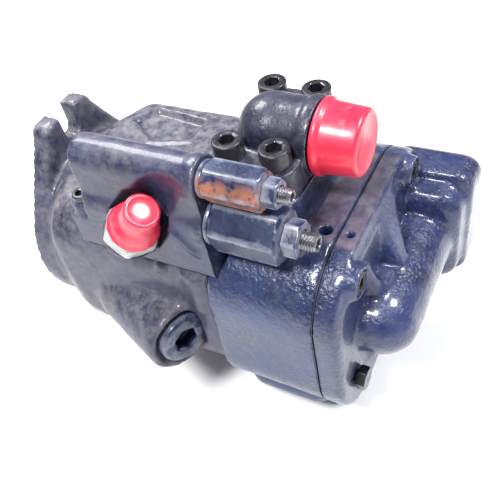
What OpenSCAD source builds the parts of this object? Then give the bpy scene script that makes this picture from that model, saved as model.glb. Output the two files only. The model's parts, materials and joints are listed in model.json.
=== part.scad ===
// Variable-displacement axial piston pump with a two-bolt flange, a compensator block,
// an outlet elbow and a suction cover.
// Frame: origin at the centre of the mounting face, +X along the shaft towards the rear
// cover, +Z up through the outlet, +Y to the side away from the compensator.

/* [Mounting flange] */
// Distance between the two slots
slot_span = 146; // [144:1:147]
// Width of each slot
slot_w = 14.3; // [13:0.1:15]
// Diameter of the pilot spigot
pilot_d = 101.6; // [98:0.1:104]
// Height of the pilot spigot
pilot_h = 9.7; // [9:0.1:11]
// Thickness of the flange plate
flange_t = 13; // [12:1:16]
// Height of the horns above the shaft axis
horn_z = 86; // [84:1:90]

/* [Castings] */
// Rear face of the front housing
housing_end = 145; // [144:0.5:147]
// Front face of the rear cover
cover_x = 207.6; // [206:0.1:211]
// Half width of the front housing
housing_half_w = 68; // [68:1:72]
// Height of the front housing above the axis
housing_top = 62; // [61:1:63]
// Half width of the port block and the rear cover
block_half_w = 72.4; // [71:0.1:76]
// Height of the machined pad above the axis
pad_z = 63.6; // [63:0.1:66]
// Thickness of the rear cover plate
cover_t = 14; // [12:1:16]
// Thickness of each gasket
gasket_t = 0.5; // [0.3:0.1:1]

/* [Suction duct] */
// Distance from the mounting face to the duct axis
duct_x = 230; // [229:1:233]
// Height of the duct axis
duct_z = 5; // [2:1:8]
// Outer radius of the duct
duct_r = 21; // [20:1:23]
// Bore radius of the duct
duct_bore_r = 15; // [14:0.5:16]
// Place of the inlet face
inlet_y = 72; // [71:1:76]

/* [Outlet] */
// Distance from the mounting face to the outlet
outlet_x = 163; // [161:1:165]
// Height of the outlet face
port_z = 82; // [80:1:84]
// Long spacing of the outlet screws
port_long = 52.4; // [52:0.1:53]
// Short spacing of the outlet screws
port_short = 26.2; // [26:0.1:27]
// Bore of the outlet
port_bore = 25; // [22:1:26]
// Height of the elbow axis
elbow_z = 100; // [99:0.5:102]

/* [Compensator] */
// Front end of the compensator block
comp_x0 = 75; // [73:1:77]
// Rear end of the compensator block
comp_x1 = 152; // [150:1:154]
// Sideways place of both spool axes
spool_y = -53; // [-54:0.5:-52]
// Height of the pressure spool axis
spool1_z = 107; // [106:0.5:109]
// Height of the flow spool axis
spool2_z = 80; // [79:0.5:81]
// Height of the pad that the block stands on
comp_floor = 50; // [49.5:0.5:51]

/* [Rotating group] */
// Distance from the mounting face to the tilt axis
tilt_x = 59; // [59:1:59]
// Largest tilt of the swashplate
tilt_max = 15; // [10:1:15]
// Number of pistons
pistons = 9; // [9:1:9]
// Pitch radius of the pistons
pitch_r = 31; // [30:0.5:31]
// Diameter of each piston
piston_d = 17; // [16:0.5:17]
// Radial running clearance
run = 0.03; // [0.02:0.01:0.06]

/* [Hidden] */
$fn = 96;

paint = [0.13, 0.15, 0.26];
bare_steel = [0.55, 0.55, 0.57];
dark_steel = [0.1, 0.1, 0.12];
bronze = [0.62, 0.45, 0.22];
cap_red = [0.9, 0.08, 0.15];
rubber = [0.05, 0.05, 0.05];

block_x0 = housing_end + gasket_t;
cup_x = 2;                         // front bearing cup
neck_end = tilt_x - 24;            // where the housing reaches its full section
shaft_end = tilt_x + 108;
block_x1 = cover_x - gasket_t;
plate_t = 4;                       // valve plate thickness
block_rear = tilt_x + 78;          // rear face of the cylinder block
block_front = tilt_x + 22;         // front face of the cylinder block
block_r = 44.5;                    // radius of the cylinder block
block_bore_r = 49;                 // housing bore around the cylinder block
sole_x = tilt_x - 8;               // swashplate running face
land_r = 34;                       // radius of the swashplate's cradle lands
seat_r = 36;                       // radius of the cradle seats in the housing
land_z = [24, 42];                 // inner and outer edge of each cradle land
arm_front = tilt_x - 10;           // front face of the swashplate's arms
comp_y = [-67, -42];               // near and far face of the compensator block
servo_tilt = 22.8;                 // angle between the servo bore and the shaft
servo_y = -49.5;                   // servo axis where it crosses the tilt plane
servo_z = -6;
servo_nose_r = 8;
servo_r = 11;
bias_y = 56.5;
bias_nose_r = 7;
bias_r = 9;
short_bolts = [[-46, 50], [40, 52]];     // cover to port block
long_bolts = [[-50, -31], [38, -43]];    // cover and port block to housing
hidden_bolts = [[-56, 26], [56, 26]];    // port block to housing, under the cover
kidney_r = 5.5;                    // half width of the kidney ports
foot_screw_x = [comp_x0 + 17, comp_x1 - 26];
foot_screw_y = -32;
foot_end = comp_x1 - 15;            // rear end of the foot bar
ear_x = comp_x0 - 6;
ear_y = -60;
signal_pos = [106, -69.2, 71.6];   // foot of the signal fitting
signal_lean = 38;                  // angle between the fitting and +Z
signal_turn = -12;                 // turn of that lean away from +X
inlet_long = 58.7;                 // inlet bolt pattern
inlet_short = 30.2;
pad_hole = [200.2, -28.5];
pin_hole = [213.5, -27.9];

// ---- shared shapes ----

// Cylinder along X
module rod_x(x0, x1, r, y = 0, z = 0) {
    translate([x0, y, z]) rotate([0, 90, 0]) cylinder(r = r, h = x1 - x0);
}

// Cone along X
module cone_x(x0, x1, ra, rb, y = 0, z = 0) {
    translate([x0, y, z]) rotate([0, 90, 0]) cylinder(r1 = ra, r2 = rb, h = x1 - x0);
}

// A (y, z) outline extruded along X
module prism_x(x0, x1) {
    translate([x0, 0, 0]) rotate([90, 0, 90]) linear_extrude(x1 - x0) children();
}

// Hexagonal prism along X
module hex_x(x0, x1, flats, y = 0, z = 0, turn = 0) {
    translate([x0, y, z]) rotate([turn, 0, 0]) rotate([0, 90, 0])
        cylinder(d = flats / cos(30), h = x1 - x0, $fn = 6);
}

// Rectangle with round corners
module rounded(w, h, r) {
    square([w - 2 * r, h], center = true);
    square([w, h - 2 * r], center = true);
    for (sy = [-1, 1], sz = [-1, 1])
        translate([sy * (w / 2 - r), sz * (h / 2 - r)]) circle(r);
}

// Point at a radius and an angle
function polar(r, a) = r * [cos(a), sin(a)];

// Ring sector with round ends, in the plane of the valve plate
module kidney_2d(from, to) {
    steps = 12;
    outer = [for (i = [0:steps]) polar(pitch_r + kidney_r, from + (to - from) * i / steps)];
    far = [for (i = [1:steps - 1]) polar(pitch_r, to) + polar(kidney_r, to + 180 * i / steps)];
    inner = [for (i = [0:steps]) polar(pitch_r - kidney_r, to + (from - to) * i / steps)];
    near = [for (i = [1:steps - 1])
        polar(pitch_r, from) + polar(kidney_r, from + 180 + 180 * i / steps)];
    polygon(concat(outer, far, inner, near));
}

// Points of a splined outline
function spline_points(root, tip, teeth) = [
    for (i = [0:teeth - 1], k = [0:3])
        let (a = (i + [0.08, 0.3, 0.7, 0.92][k]) * 360 / teeth,
            r = (k == 1 || k == 2) ? tip : root)
        r * [cos(a), sin(a)]
];

// Coil spring along X: closed tube swept round a helix
module coil(x0, x1, radius, wire, turns, steps = 20, sides = 8) {
    count = turns * steps;
    ring = [for (i = [0:count], k = [0:sides - 1])
        let (a = i * 360 / steps, b = k * 360 / sides, r = radius + wire * cos(b))
        [x0 + wire + (x1 - x0 - 2 * wire) * i / count + wire * sin(b),
            r * cos(a), r * sin(a)]];
    walls = [for (i = [0:count - 1], k = [0:sides - 1])
        let (n = (k + 1) % sides)
        [i * sides + k, i * sides + n, (i + 1) * sides + n, (i + 1) * sides + k]];
    polyhedron(points = ring, faces = concat(
        [[for (k = [sides - 1:-1:0]) k]], walls,
        [[for (k = [0:sides - 1]) count * sides + k]]), convexity = 10);
}

// Moves a shape built along +X onto the leaning servo axis
module on_servo_axis() {
    translate([tilt_x, servo_y, servo_z]) rotate([0, 0, -servo_tilt]) children();
}

// Moves a shape built along +Z onto the leaning signal port axis
module on_signal_axis() {
    translate(signal_pos) rotate([0, 0, signal_turn]) rotate([0, signal_lean, 0]) children();
}

// Moves a shape onto one piston bore
module at_piston(i) {
    a = 80 + (i - 1) * 360 / pistons;
    translate([0, pitch_r * cos(a), pitch_r * sin(a)]) children();
}

// Outline shared by the port block, the rear cover and their gasket
module rear_section() {
    for (half = [[1, 40], [-1, 46]]) intersection() {
        rounded(2 * block_half_w, 2 * pad_z, half[1]);
        translate([-90, min(0, 90 * half[0])]) square([180, 90]);
    }
}

module housing_section() {
    corner = 46;
    difference() {
        rounded(2 * housing_half_w, 2 * housing_top, 26);
        translate([-housing_half_w, -housing_top]) difference() {
            translate([-1, -1]) square(corner + 1);
            translate([corner, corner]) circle(corner);
        }
    }
}

// Repeats a shape at each (y, z) place of a list
module at_places(places) {
    for (p = places) translate([0, p[0], p[1]]) children();
}

// Corner cut away for the compensator block
module comp_notch() {
    translate([ear_x - 8, -90, comp_floor]) cube([comp_x1 - ear_x + 10, 90 + comp_y[1], 50]);
}

// ---- castings ----

module flange_outline() {
    slot_r = slot_w / 2;
    difference() {
        union() {
            circle(r = 62);
            for (s = [0, 1]) mirror([0, s]) {
                polygon([[-54, 30.5], [-23.4, 79], [23.4, 79], [54, 30.5]]);
                translate([-16.4, 70]) square([32.8, horn_z - 70]);
                for (sy = [-1, 1]) translate([sy * 16.4, horn_z - 7]) circle(7);
            }
        }
        for (s = [0, 1]) mirror([0, s]) {
            translate([0, slot_span / 2]) circle(r = slot_r);
            translate([-slot_r, slot_span / 2]) square([slot_w, 30]);
        }
    }
}

module servo_boss() {
    on_servo_axis() {
        rod_x(8, 69, 23.5);
        cone_x(-30, 8, 14, 23.5);
    }
}

module housing_cavity() {
    front = tilt_x - 38;
    rod_x(tilt_x + 14, housing_end + 1, block_bore_r);
    difference() {
        union() {
            rod_x(front, tilt_x + 20, 46);
            translate([front, -38, -44.5]) cube([58, 76, 89]);
            translate([front + 6, -62, -15]) cube([52, 127, 30]);
        }
        for (sz = [-1, 1]) translate([0, 0, sz * 33.2]) difference() {
            translate([front - 4, -24, -9.8]) cube([24, 48, 19.6]);
            translate([tilt_x, 0, 0]) cylinder(r = seat_r, h = 30, center = true);
        }
    }
}

module main_housing() {
    color(paint) difference() {
        union() {
            rod_x(-pilot_h, 1, pilot_d / 2);
            prism_x(0, flange_t) flange_outline();
            hull() {
                rod_x(flange_t - 1, flange_t, 59, $fn = 48);
                prism_x(neck_end - 1, neck_end) housing_section($fn = 48);
            }
            prism_x(neck_end - 1, housing_end) housing_section();
            servo_boss();
            rod_x(tilt_x - 10, housing_end, 15, bias_y, 0);
            translate([housing_end - 9.2, 6 - housing_half_w, 16]) cylinder(r = 9, h = 30);
        }
        housing_cavity();
        comp_notch();
        rod_x(cup_x, tilt_x - 32, 31);
        rod_x(-1, cup_x + 1, 19);
        rod_x(-pilot_h - 1, 0, 26);
        rod_x(-8.7, -7.1, 27.5);
        on_servo_axis() {
            rod_x(12, 56, servo_r + run);
            rod_x(54, 66, 15.2);
            rod_x(64.5, 72, 19);
        }
        rod_x(tilt_x - 4, tilt_x + 78, bias_r + run, bias_y, 0);
        at_places(concat(long_bolts, hidden_bolts)) rod_x(housing_end - 24, housing_end + 1, 4.1);
        for (x = foot_screw_x) translate([x, foot_screw_y, 45]) cylinder(r = 4.1, h = 30);
        translate([ear_x, ear_y, comp_floor - 14]) cylinder(r = 3.05, h = 20);
    }
}

// Raised pad under the elbow, clear of the front housing and of the compensator's foot
module outlet_neck() {
    difference() {
        union() {
            translate([outlet_x, 0, 50]) linear_extrude(port_z - 50)
                rounded(port_short + 23, port_long + 22, 11.5);
            hull() {
                translate([outlet_x, 0, port_z - 12]) linear_extrude(1)
                    rounded(port_short + 20, port_long + 18, 10, $fn = 32);
                translate([outlet_x, 0, 56]) linear_extrude(1)
                    rounded(port_short + 38, port_long + 32, 16, $fn = 32);
            }
        }
        translate([100, -90, 0]) cube([block_x0 - 100, 180, housing_top + 0.4]);
        translate([100, -90, 0]) cube([foot_end + 1 - 100, 70, 100]);
    }
}

module port_block() {
    color(paint) difference() {
        union() {
            rod_x(housing_end - 4, block_x0 + 1, block_bore_r - 0.05);
            prism_x(block_x0, block_x1) rear_section();
            outlet_neck();
            hull() {
                for (x = [160, 193]) translate([x, -47, -57]) sphere(14, $fn = 24);
                for (x = [162, 193]) translate([x, -30, -50]) sphere(14, $fn = 24);
            }
        }
        comp_notch();
        translate([outlet_x, 0, 28]) cylinder(d = port_bore, h = 60);
        prism_x(housing_end - 5, outlet_x + 12) kidney_2d(45, 135);
        prism_x(housing_end - 5, cover_x) kidney_2d(225, 315);
        rod_x(housing_end - 5, shaft_end + 2, 12);
        rod_x(shaft_end - 18, shaft_end - 2, 15);
        at_places(concat(long_bolts, hidden_bolts)) rod_x(housing_end, cover_x, 4.5);
        at_places(hidden_bolts) rod_x(block_x1 - 12, cover_x, 9);
        at_places(short_bolts) rod_x(block_x1 - 24, cover_x, 4.1);
        for (sx = [-1, 1], sy = [-1, 1])
            translate([outlet_x + sx * port_short / 2, sy * port_long / 2, port_z - 16])
                cylinder(r = 5.05, h = 20);
        translate([pad_hole[0], pad_hole[1], pad_z - 14]) cylinder(r = 3.4, h = 20);
    }
}

module inlet_flange_2d() {
    rounded(inlet_short + 24, inlet_long + 22, 12);
}

// A shape drawn in (x, z) and extruded along +Y from y0
module prism_y(y0, y1) {
    translate([0, y1, 0]) rotate([90, 0, 0]) linear_extrude(y1 - y0) children();
}

module rear_cover() {
    near_y = -30;
    rear = cover_x + cover_t;
    color(paint) difference() {
        union() {
            prism_x(cover_x, cover_x + cover_t - 2) rear_section();
            prism_x(cover_x, rear) translate([0, -2]) rounded(2 * block_half_w - 6, 116, 36);
            at_places(short_bolts) rod_x(cover_x + 2, rear + 5, 9.5);
            translate([duct_x, near_y, duct_z]) rotate([-90, 0, 0])
                cylinder(r = duct_r, h = inlet_y - 10 - near_y);
            translate([duct_x, near_y, duct_z]) sphere(duct_r);
            rod_x(cover_x + 4, duct_x, duct_r, near_y, duct_z);
            intersection() {
                prism_y(inlet_y - 22, inlet_y) translate([duct_x, duct_z]) inlet_flange_2d();
                prism_x(cover_x, 2 * duct_x) square(200, center = true);
            }
            for (side = [1, -1]) hull() {
                translate([cover_x + 6, -34, side * 36 - 16]) cube([4, 8, 32]);
                translate([duct_x, -34, duct_z + side * 14 - 2]) cube([4, 8, 4]);
            }
        }
        translate([duct_x, near_y, duct_z]) rotate([-90, 0, 0])
            cylinder(r = duct_bore_r, h = inlet_y + 1 - near_y);
        translate([duct_x, near_y, duct_z]) sphere(duct_bore_r);
        translate([cover_x - 1, -20, -36]) cube([10, 40, duct_z + 36]);
        at_places(concat(short_bolts, long_bolts)) rod_x(cover_x - 1, rear + 1, 4.5);
        at_places(short_bolts) rod_x(rear - 4, rear + 6, 7.2);
        translate([duct_x, inlet_y - 14, duct_z]) rotate([-90, 0, 0])
            for (sx = [-1, 1], sz = [-1, 1])
                translate([sx * inlet_short / 2, sz * inlet_long / 2, 0])
                    cylinder(r = 5, h = 20);
        translate([pin_hole[0], pin_hole[1], pad_z - 8]) cylinder(r = 2, h = 10);
    }
}

module gaskets() {
    color(dark_steel) {
        prism_x(housing_end, block_x0) difference() {
            intersection() {
                housing_section();
                translate([-90, -90]) square([180, 90 + comp_floor]);
            }
            circle(block_bore_r);
            for (p = concat(long_bolts, hidden_bolts)) translate(p) circle(4.5);
        }
        prism_x(block_x1, cover_x) difference() {
            rear_section();
            kidney_2d(225, 315);
            for (p = concat(long_bolts, short_bolts)) translate(p) circle(4.5);
            for (p = hidden_bolts) translate(p) circle(9);
        }
    }
}

// Hexagon bolt with a washer face, its head resting at x
module hex_bolt(x, shank) {
    rod_x(x - shank, x + 1, 4);
    rod_x(x, x + 0.8, 6.5);
    hex_x(x + 0.6, x + 6, 13);
}

module case_bolts() {
    rear = cover_x + cover_t;
    color(dark_steel) {
        at_places(short_bolts) translate([rear - 4, 0, 0]) rotate([0, 90, 0])
            cap_screw(6.5, 8, 4, 30, 6);
        at_places(long_bolts) hex_bolt(rear, rear - housing_end + 20);
        at_places(hidden_bolts) hex_bolt(block_x1 - 12, block_x1 - 12 - housing_end + 20);
    }
}

// ---- compensator ----

module compensator_block() {
    crown_r = 11;
    mid_r = 14;
    recess_r = 16.8;
    color(paint) difference() {
        union() {
            rod_x(comp_x0, comp_x1, crown_r, spool_y, spool1_z);
            translate([comp_x0, spool_y - crown_r, spool2_z])
                cube([comp_x1 - comp_x0, 2 * crown_r, spool1_z - spool2_z]);
            rod_x(comp_x0, comp_x1, mid_r, spool_y, spool2_z);
            translate([comp_x0, comp_y[0], comp_floor])
                cube([comp_x1 - comp_x0, comp_y[1] - comp_y[0], spool2_z - comp_floor]);
            translate([comp_x0 + 7, comp_y[1] - 1, housing_top])
                cube([foot_end - comp_x0 - 7, 19, 10]);
            translate([ear_x - 7, comp_y[0], comp_floor]) cube([comp_x0 - ear_x + 8, 14, 20]);
            translate([ear_x, ear_y, comp_floor]) cylinder(r = 6.8, h = 29);
            on_signal_axis() translate([0, 0, -13]) cylinder(r1 = 11, r2 = 15.3, h = 13);
        }
        rod_x(comp_x0 + 5, comp_x1 + 1, 4 + run, spool_y, spool1_z);
        rod_x(comp_x1 - 14, comp_x1 + 1, 8, spool_y, spool1_z);
        rod_x(comp_x1 - 30, comp_x1 + 1, 5 + run, spool_y, spool2_z);
        rod_x(comp_x1 - 14, comp_x1 + 1, 11, spool_y, spool2_z);
        for (x = foot_screw_x) translate([x, foot_screw_y, 50]) cylinder(r = 4.5, h = 30);
        translate([ear_x, ear_y, 40]) cylinder(r = 3.3, h = 60);
        on_signal_axis() {
            cylinder(r = recess_r, h = 16);
            translate([0, 0, 16]) sphere(recess_r);
            translate([0, 0, 16]) cylinder(r = 14.4, h = 40);
            translate([0, 0, -9.5]) cylinder(r = 8, h = 12);
        }
    }
}

module cap_screw(head_r, head_h, shank_r, shank, key) {
    difference() {
        cylinder(r = head_r, h = head_h);
        translate([0, 0, head_h * 0.45]) cylinder(d = key / cos(30), h = head_h, $fn = 6);
    }
    translate([0, 0, -shank]) cylinder(r = shank_r, h = shank + 1);
}

module block_screws() {
    color(dark_steel) {
        for (x = foot_screw_x) translate([x, foot_screw_y, housing_top + 10])
            cap_screw(6.5, 8, 4, 24, 6);
        translate([ear_x, ear_y, comp_floor + 29]) cap_screw(5, 4, 3, 40, 5);
    }
}

// Hollow hexagon cap screwed into the block
module spring_cap(z, flats, thread_r, chamber_r, stem_r, end_x, turn) {
    difference() {
        union() {
            rod_x(comp_x1 - 12, comp_x1 + 1, thread_r, spool_y, z);
            rod_x(comp_x1, comp_x1 + 2.5, flats / 2, spool_y, z);
            hex_x(comp_x1 + 2, end_x, flats, spool_y, z, turn);
        }
        rod_x(comp_x1 - 13, end_x - 8, chamber_r, spool_y, z);
        rod_x(end_x - 9, end_x + 1, stem_r + run, spool_y, z);
    }
}

module adjuster(z, r, x0, x1) {
    difference() {
        rod_x(x0, x1, r, spool_y, z);
        hex_x(x1 - 4, x1 + 1, r, spool_y, z);
    }
}

module locknut(z, flats, r, x0, x1, turn) {
    difference() {
        hex_x(x0, x1, flats, spool_y, z, turn);
        rod_x(x0 - 1, x1 + 1, r + run, spool_y, z);
    }
}

// Spool with evenly spaced lands, a stem and a spring collar
module spool(z, x0, lands, land, r, stem_r, collar_r) {
    rear = comp_x1 - 15;
    pitch = (rear - land - x0) / (lands - 1);
    for (k = [0:lands - 1]) rod_x(x0 + k * pitch, x0 + k * pitch + land, r, spool_y, z);
    rod_x(x0 + 1, comp_x1 - 9, stem_r, spool_y, z);
    rod_x(comp_x1 - 10, comp_x1 - 7, collar_r, spool_y, z);
    rod_x(comp_x1 - 8, comp_x1 - 1, stem_r * 0.9, spool_y, z);
}

cap1_end = comp_x1 + 33;
cap2_end = comp_x1 + 40;

module pressure_cap() { color(paint) spring_cap(spool1_z, 19, 7.95, 6, 4, cap1_end, 0); }
module pressure_adjuster() { color(bare_steel) adjuster(spool1_z, 4, cap1_end - 16, cap1_end + 13); }
module pressure_locknut() {
    color(dark_steel) locknut(spool1_z, 13, 4, cap1_end + 0.2, cap1_end + 7, 0);
}
module pressure_seat() {
    color(bare_steel) rod_x(cap1_end - 18.5, cap1_end - 16, 5.9, spool_y, spool1_z);
}
module pressure_spring() {
    color(bare_steel) translate([0, spool_y, spool1_z])
        coil(comp_x1 - 7, cap1_end - 18.5, 4.7, 0.9, 7);
}
module pressure_spool() { color(bare_steel) spool(spool1_z, comp_x0 + 8, 3, 12, 4, 2.6, 5.6); }

module flow_cap() { color(paint) spring_cap(spool2_z, 27, 10.95, 8.5, 5, cap2_end, 15); }
module flow_adjuster() { color(bare_steel) adjuster(spool2_z, 5, cap2_end - 16, cap2_end + 16); }
module flow_locknut() {
    color(dark_steel) locknut(spool2_z, 17, 5, cap2_end + 0.2, cap2_end + 8.2, 10);
}
module flow_seat() {
    color(bare_steel) rod_x(cap2_end - 18.5, cap2_end - 16, 8.4, spool_y, spool2_z);
}
module flow_spring() {
    color(bare_steel) translate([0, spool_y, spool2_z])
        coil(comp_x1 - 7, cap2_end - 18.5, 6.9, 1.2, 7);
}
module flow_spool() { color(bare_steel) spool(spool2_z, comp_x1 - 28, 2, 5, 5, 3.2, 7.6); }

module signal_fitting() {
    color(bare_steel) on_signal_axis() difference() {
        union() {
            translate([0, 0, -9]) cylinder(r = 7.95, h = 10);
            cylinder(d = 27 / cos(30), h = 9, $fn = 6);
            translate([0, 0, 8]) cylinder(r = 9.4, h = 12);
        }
        translate([0, 0, -10]) cylinder(r = 4.5, h = 40);
    }
}

module signal_cap() {
    color(cap_red) on_signal_axis() translate([0, 0, 9.5]) rotate_extrude()
        polygon([[9.5, 0], [14, 0], [14, 2], [12.8, 8], [9.8, 12], [9.2, 23],
            [0, 23], [0, 21], [7.4, 21], [7.8, 12], [9.5, 11]]);
}

// ---- outlet ----

module elbow_ears_2d() {
    for (sx = [-1, 1], sy = [-1, 1])
        translate([sx * port_short / 2, sy * port_long / 2]) circle(11);
    square([port_short + 22, port_long], center = true);
    square([port_short, port_long + 22], center = true);
}

module outlet_elbow() {
    ring_x = outlet_x + 20;
    color(paint) difference() {
        union() {
            translate([outlet_x, 0, port_z]) linear_extrude(18) difference() {
                elbow_ears_2d();
                for (sx = [-1, 1]) translate([sx * 30, 0]) circle(15);
            }
            translate([outlet_x, 0, port_z]) cylinder(r = 19, h = elbow_z - port_z);
            translate([outlet_x, 0, elbow_z]) sphere(19.5);
            rod_x(outlet_x, ring_x + 1, 19, 0, elbow_z);
            rod_x(ring_x, ring_x + 6, 20.6, 0, elbow_z);
            rod_x(ring_x + 5, ring_x + 22, 15.8, 0, elbow_z);
        }
        translate([outlet_x, 0, port_z - 3]) cylinder(d = port_bore, h = elbow_z - port_z + 12);
        rod_x(outlet_x, ring_x + 23, port_bore / 2 - 0.5, 0, elbow_z);
        for (sx = [-1, 1], sy = [-1, 1])
            translate([outlet_x + sx * port_short / 2, sy * port_long / 2, port_z - 1])
                cylinder(r = 5.5, h = 20);
        for (sx = [-1, 1], sy = [-1, 1])
            translate([outlet_x + sx * port_short / 2, sy * port_long / 2, port_z + 18])
                cylinder(r = 8.4, h = 20);
        translate([outlet_x, 0, port_z - 3]) rotate_extrude()
            translate([14.4, 0]) square([4, 6.5]);
        translate([outlet_x, 0, port_z - 10]) cylinder(r = 30, h = 10);
    }
}

module outlet_screws() {
    color(dark_steel) for (sx = [-1, 1], sy = [-1, 1])
        translate([outlet_x + sx * port_short / 2, sy * port_long / 2, port_z + 18])
            cap_screw(8, 10, 5, 32, 8);
}

module outlet_seal() {
    color(rubber) translate([outlet_x, 0, port_z + 1.65]) rotate_extrude()
        translate([16.4, 0]) circle(1.6, $fn = 32);
}

module outlet_cap() {
    x0 = outlet_x + 27;
    color(cap_red) translate([x0, 0, elbow_z]) rotate([0, 90, 0]) rotate_extrude()
        polygon([[15.9, 0], [20.2, 0], [20.4, 2.5], [18.8, 4], [17.4, 22], [16.2, 23.5],
            [0, 23.5], [0, 21.5], [15.2, 21.5], [15.9, 16]]);
}

// ---- servo ----

module servo_plug() {
    color(paint) on_servo_axis() difference() {
        union() {
            rod_x(56, 66, 15.15);
            rod_x(64.6, 70, 16.4);
            cone_x(70, 71.6, 16.4, 14.8);
        }
        hex_x(63, 72, 14, 0, 0, 30);
    }
}

module servo_piston() {
    color(bare_steel) on_servo_axis() {
        nose = servo_nose_r / cos(servo_tilt) + 0.12;
        translate([nose, 0, 0]) sphere(servo_nose_r);
        rod_x(nose, 16, servo_nose_r);
        rod_x(15, 36, servo_r);
    }
}

module bias_piston() {
    nose = tilt_x + bias_nose_r + 0.3;
    color(bare_steel) {
        translate([nose, bias_y, 0]) sphere(bias_nose_r);
        rod_x(nose, tilt_x + 15, bias_nose_r, bias_y);
        rod_x(tilt_x + 14, tilt_x + 28, bias_r, bias_y);
        rod_x(tilt_x + 27, tilt_x + 40, 4, bias_y);
    }
}

module bias_spring() {
    color(bare_steel) translate([0, bias_y, 0]) coil(tilt_x + 28, tilt_x + 78, 6.7, 1.3, 8);
}

// ---- rotating group ----

module drive_shaft() {
    color(bare_steel) {
        cone_x(-46, -45, 10, 11);
        prism_x(-45, -12) polygon(spline_points(11, 12.49, 15));
        rod_x(-13, cup_x + 17.5, 15);
        rod_x(cup_x + 17.5, cup_x + 20.5, 18);
        rod_x(cup_x + 20, block_front + 7, 13);
        prism_x(block_front + 6, block_rear - 4) polygon(spline_points(12.8, 14.2, 18));
        rod_x(block_rear - 5, shaft_end, 10);
    }
}

roller_lean = 12;                  // taper bearing rollers
roller_ring_r = 23.2;

// Roller axis line of the taper bearing, turned round the shaft
module at_rollers(count) {
    for (i = [0:count - 1]) rotate([i * 360 / count, 0, 0])
        translate([cup_x + 8.6, 0, roller_ring_r]) rotate([0, -roller_lean, 0]) children();
}

module front_bearing_cup() {
    inner = roller_ring_r + 3.3 / cos(roller_lean);
    rise = 9 * tan(roller_lean);
    mid = cup_x + 8.6;
    color(bare_steel) difference() {
        rod_x(cup_x, cup_x + 17.25, 31);
        cone_x(mid - 9, mid + 9, inner - rise, inner + rise);
    }
}

module front_bearing_cone() {
    color(bare_steel) {
        difference() {
            cone_x(cup_x + 0.5, cup_x + 17.5, 17.6, 21.2);
            rod_x(cup_x - 1, cup_x + 19, 15.02);
        }
        at_rollers(17) rod_x(-6.5, 6.5, 3.2);
    }
}

module rear_bearing() {
    color(bare_steel) {
        difference() {
            rod_x(shaft_end - 18, shaft_end - 2, 14.95);
            rod_x(shaft_end - 19, shaft_end - 1, 12.1);
        }
        for (i = [0:23]) rotate([i * 15, 0, 0])
            rod_x(shaft_end - 17, shaft_end - 3, 1, 11.08, 0);
    }
}

module shaft_seal() {
    color(rubber) translate([-6.9, 0, 0]) rotate([0, 90, 0]) rotate_extrude()
        polygon([[15.05, 1.5], [17.5, 1.5], [17.5, 5], [24, 5], [24, 0], [25.97, 0],
            [25.97, 6.9], [16.5, 6.9], [15.05, 4]]);
}

module seal_ring() {
    color(dark_steel) prism_x(-8.6, -7.2) difference() {
        circle(27.3);
        circle(23);
        translate([-5, 0]) square([10, 40]);
    }
}

module cylinder_block() {
    color(bare_steel) difference() {
        rod_x(block_front, block_rear, block_r);
        for (i = [1:pistons]) at_piston(i) {
            rod_x(block_front - 1, block_rear - 8, piston_d / 2 + run);
            rod_x(block_rear - 9, block_rear + 1, 4.5);
        }
        rod_x(block_front - 1, block_rear - 16, 19);
        prism_x(block_rear - 17, block_rear - 3) polygon(spline_points(12.9, 14.3, 18));
        rod_x(block_rear - 4, block_rear + 1, 16);
    }
}

module block_spring() {
    color(bare_steel) coil(block_front + 12, block_rear - 16, 16.6, 1.5, 4);
}

module valve_plate() {
    color(bronze) prism_x(block_rear, block_rear + plate_t) difference() {
        circle(46);
        circle(14);
        kidney_2d(45, 135);
        kidney_2d(225, 315);
    }
}

module swashplate() {
    color(bare_steel) difference() {
        union() {
            rod_x(sole_x - 8, sole_x, 42.5);
            intersection() {
                translate([tilt_x, 0, -land_z[1]]) cylinder(r = land_r, h = 2 * land_z[1]);
                union() {
                    for (sz = [-1, 1]) translate([10, -40, sz * (land_z[0] + land_z[1]) / 2 - 9])
                        cube([sole_x - 10, 80, 18]);
                    translate([sole_x - 14, -40, -30]) cube([14, 80, 60]);
                }
            }
            translate([arm_front - 6, -46, -14]) cube([8, 92, 24]);
            translate([arm_front, -58, -14]) cube([10, 13.2, 24]);
            translate([arm_front, 44.8, -12]) cube([10, 16.2, 22]);
            translate([arm_front - 6, -52, -14]) cube([8, 10, 24]);
            translate([arm_front - 6, 42, -12]) cube([8, 12, 22]);
        }
        rod_x(tilt_x - 40, tilt_x - 2, 22);
    }
}

module cradle_bearings() {
    wing = seat_r * 0.9;
    color(bronze) for (sz = [-1, 1])
        translate([tilt_x, 0, sz * (land_z[0] + land_z[1]) / 2 - 9]) linear_extrude(18)
            intersection() {
                difference() {
                    circle(seat_r - 0.02);
                    circle(land_r + 0.08);
                }
                polygon([[0, 0], [-wing, -wing * 0.78], [-2 * seat_r, -24],
                    [-2 * seat_r, 24], [-wing, wing * 0.78]]);
            }
}

module retainer_plate() {
    color(bronze) difference() {
        rod_x(sole_x + 3.15, sole_x + 6.15, 42.8);
        for (i = [1:pistons]) at_piston(i) rod_x(sole_x, tilt_x, 8.7);
        translate([tilt_x, 0, 0]) sphere(18.2);
    }
}

module ball_guide() {
    color(bare_steel) difference() {
        union() {
            intersection() {
                translate([tilt_x, 0, 0]) sphere(18);
                rod_x(tilt_x - 7, tilt_x + 10, 20);
            }
            rod_x(tilt_x + 8, block_front + 12, 16);
        }
        rod_x(tilt_x - 10, block_front + 14, 13.02);
        rod_x(block_front + 5, block_front + 14, 14.4);
    }
}

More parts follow.
